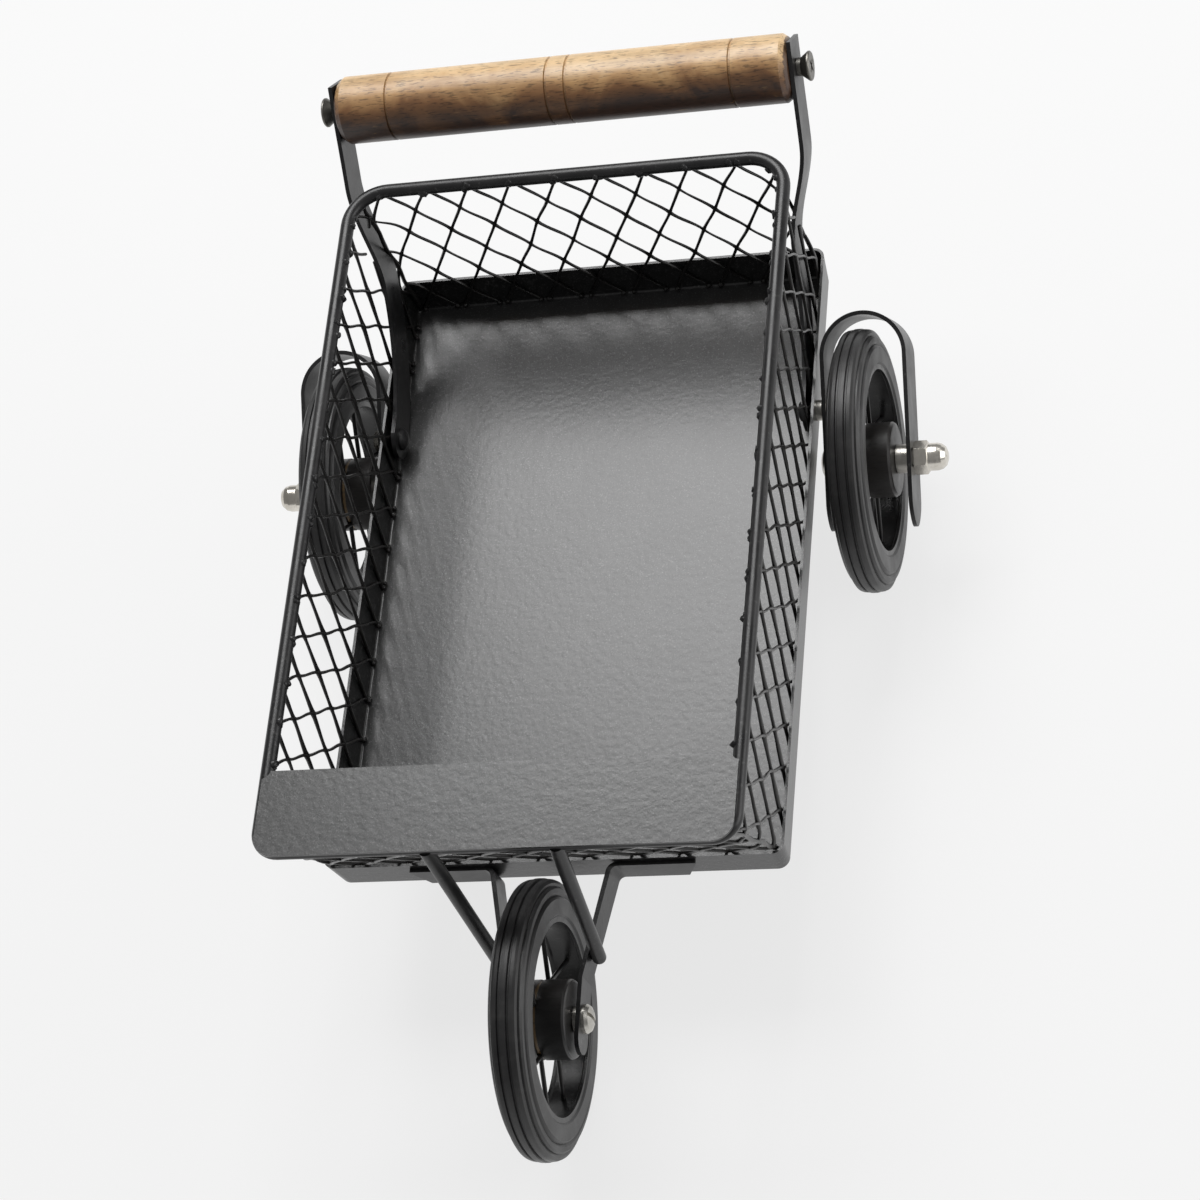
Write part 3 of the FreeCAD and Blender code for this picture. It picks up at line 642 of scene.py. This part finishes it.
def add_strand(wall, run, width, twist_size, vertices, faces):
    """Skins one strand, swollen at its crossings and twisting as it climbs."""
    centres = [wall.place(p.x, p.y) for p, _ in run]
    normals = [wall_normal(wall, p.x, p.y) for p, _ in run]
    rings = []
    phase = random.uniform(*PHASE_RANGE)
    for k, (p, near) in enumerate(run):
        tangent = (centres[min(k + 1, len(run) - 1)] - centres[max(k - 1, 0)]).normalized()
        swell = 1 + SWELL * math.exp(-(near / SWELL_REACH) ** 2)
        twist = twist_size * math.sin(p.y * WAVE + phase) + phase
        half_w = width / 2 * swell * random.uniform(*WIDTH_RANGE)
        ring = bar_section(tangent, normals[k], half_w, NET_T / 2 * swell, twist)
        rings.append(ring)
    leaned = [lean(c) for c in centres]
    turn = Matrix.Rotation(TILT, 3, "X")
    rings = [[(turn @ offset) * MM for offset in ring] for ring in rings]
    sweep(leaned, rings, vertices, faces)


def finish_piece(name, vertices, faces, slot, body, replaced=()):
    """Makes a smooth-shaded mesh object that rides on a body, in place of any replaced nodes."""
    mesh = bpy.data.meshes.new(name)
    mesh.from_pydata([tuple(v) for v in vertices], [], faces)
    mesh.validate()
    mesh.update()
    piece = bpy.data.objects.new(name, mesh)
    bpy.context.scene.collection.objects.link(piece)
    for polygon in mesh.polygons:
        polygon.use_smooth = True
    mesh.materials.append(looks[slot])
    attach(piece, body)
    if replaced:
        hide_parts(*replaced)


def inward_of(wall, u, v, distance):
    """A point some distance in from the wall, level with a place on it."""
    at = wall.place(u, v)
    normal = wall_normal(wall, u, min(v, WALL_H - 1))
    normal.z = 0
    normal.normalize()
    if normal.dot(Vector((-at.x, MIDDLE_Y - at.y, 0))) < 0:
        normal = -normal
    return at + normal * distance


def corner_strand(wall, end, vertices, faces):
    """The strand in a corner, shared by the walls on both sides of it."""
    run = []
    for k in range(CORNER_STEPS + 1):
        v = WALL_H * k / CORNER_STEPS
        u = wall.limits(v)[end] + CORNER_WANDER * math.sin(v * CORNER_WAVE)
        near = abs((v + CORNER_SHIFT) % CORNER_PITCH - CORNER_PITCH / 2)
        run.append((Vector((u, v)), near))
    add_strand(wall, run, wall.widths[0], CORNER_TWIST, vertices, faces)


def add_bead(centre, sizes, vertices, faces):
    """A lumpy bead of weld, with its three half sizes drawn from a range in millimetres."""
    size = Vector([random.uniform(*sizes) for _ in range(3)]) * MM
    first = len(vertices)
    lumps = [random.uniform(*BEAD_LUMPS) for _ in range((BEAD_ROWS + 1) * BEAD_COLUMNS)]
    for row in range(BEAD_ROWS + 1):
        a = math.pi * row / BEAD_ROWS
        for column in range(BEAD_COLUMNS):
            b = 2 * math.pi * column / BEAD_COLUMNS
            lump = 1.0 if row in (0, BEAD_ROWS) else lumps[row * BEAD_COLUMNS + column]
            vertices.append(centre + Vector((size.x * math.sin(a) * math.cos(b),
                                             size.y * math.sin(a) * math.sin(b),
                                             size.z * math.cos(a))) * lump)
    for row in range(BEAD_ROWS):
        low = first + row * BEAD_COLUMNS
        high = low + BEAD_COLUMNS
        for column in range(BEAD_COLUMNS):
            after = (column + 1) % BEAD_COLUMNS
            faces.append((low + column, low + after, high + after, high + column))


def make_netting():
    weld_vertices, weld_faces = [], []
    foot_vertices, foot_faces = [], []
    for wall in (SideWall(1), SideWall(-1), RearWall(), FrontWall()):
        vertices, faces = [], []
        for run, heavy in strands(wall):
            kind = 0 if heavy else 1
            add_strand(wall, run, wall.widths[kind], TWISTS[kind], vertices, faces)
            for p, _ in (run[0], run[-1]):
                if p.y > WALL_H - EDGE_REACH:
                    at = inward_of(wall, p.x, WALL_H, RIM_BEAD_IN)
                    at.z += random.uniform(*RIM_BEAD_RISE)
                    add_bead(lean(at), RIM_BEAD, weld_vertices, weld_faces)
                if p.y < wall.bottom + EDGE_REACH:
                    at = inward_of(wall, p.x, p.y, FOOT_BEAD_IN)
                    add_bead(lean(at), FOOT_BEAD, foot_vertices, foot_faces)
        if isinstance(wall, SideWall):
            corner_strand(wall, 0, vertices, faces)
            corner_strand(wall, 1, vertices, faces)
        finish_piece(wall.name, vertices, faces, "netting_paint", "frame", (wall.node,))
    finish_piece("rim_weld_beads", weld_vertices, weld_faces, "frame_paint", "frame")
    finish_piece("floor_weld_beads", foot_vertices, foot_faces, "netting_paint", "frame")


# ---------------------------------------------------------------- stage

def make_floor():
    mesh = bpy.data.meshes.new("floor")
    reach = 6.0
    corners = [(-reach, -reach, 0), (reach, -reach, 0), (reach, reach, 0), (-reach, reach, 0)]
    mesh.from_pydata(corners, [], [(0, 1, 2, 3)])
    floor = bpy.data.objects.new("floor", mesh)
    bpy.context.scene.collection.objects.link(floor)
    material, tree, shader = new_material("pale_floor")
    shader.inputs["Base Color"].default_value = (0.16, 0.16, 0.16, 1)
    shader.inputs["Roughness"].default_value = 0.9
    shader.inputs["Specular IOR Level"].default_value = 0.1
    shader.inputs["Emission Color"].default_value = (1.0, 1.0, 1.0, 1)
    shader.inputs["Emission Strength"].default_value = 0.745
    mesh.materials.append(material)


def area_light(name, at, aim, size, power):
    data = bpy.data.lights.new(name, "AREA")
    data.shape = "RECTANGLE"
    data.size, data.size_y = size
    data.energy = power
    light = bpy.data.objects.new(name, data)
    light.location = at
    light.rotation_euler = (Vector(aim) - Vector(at)).to_track_quat("-Z", "Y").to_euler()
    bpy.context.scene.collection.objects.link(light)


def make_lights():
    world = bpy.data.worlds.new("studio")
    world.use_nodes = True
    background = world.node_tree.nodes["Background"]
    background.inputs["Color"].default_value = (1.0, 1.0, 1.0, 1)
    background.inputs["Strength"].default_value = 0.30
    bpy.context.scene.world = world
    area_light("key", (-0.17, 0.90, 1.40), (0.0, 0.0, 0.05), (1.0, 0.8), 25)
    area_light("right_panel", (1.5, 0.15, 0.55), (0, 0, 0.1), (1.1, 0.9), 10)


def make_camera():
    data = bpy.data.cameras.new("camera")
    data.lens = LENS
    data.sensor_width = SENSOR
    data.clip_start = 0.05
    camera = bpy.data.objects.new("camera", data)
    ahead = CAMERA_AHEAD.normalized()
    right = ahead.cross(CAMERA_UP).normalized()
    up = right.cross(ahead)
    turn = Matrix((right, up, -ahead)).transposed().to_4x4()
    camera.matrix_world = Matrix.Translation(CAMERA_AT) @ turn
    bpy.context.scene.collection.objects.link(camera)
    bpy.context.scene.camera = camera


make_netting()
make_floor()
make_lights()
make_camera()
bpy.context.scene.view_settings.view_transform = "Standard"
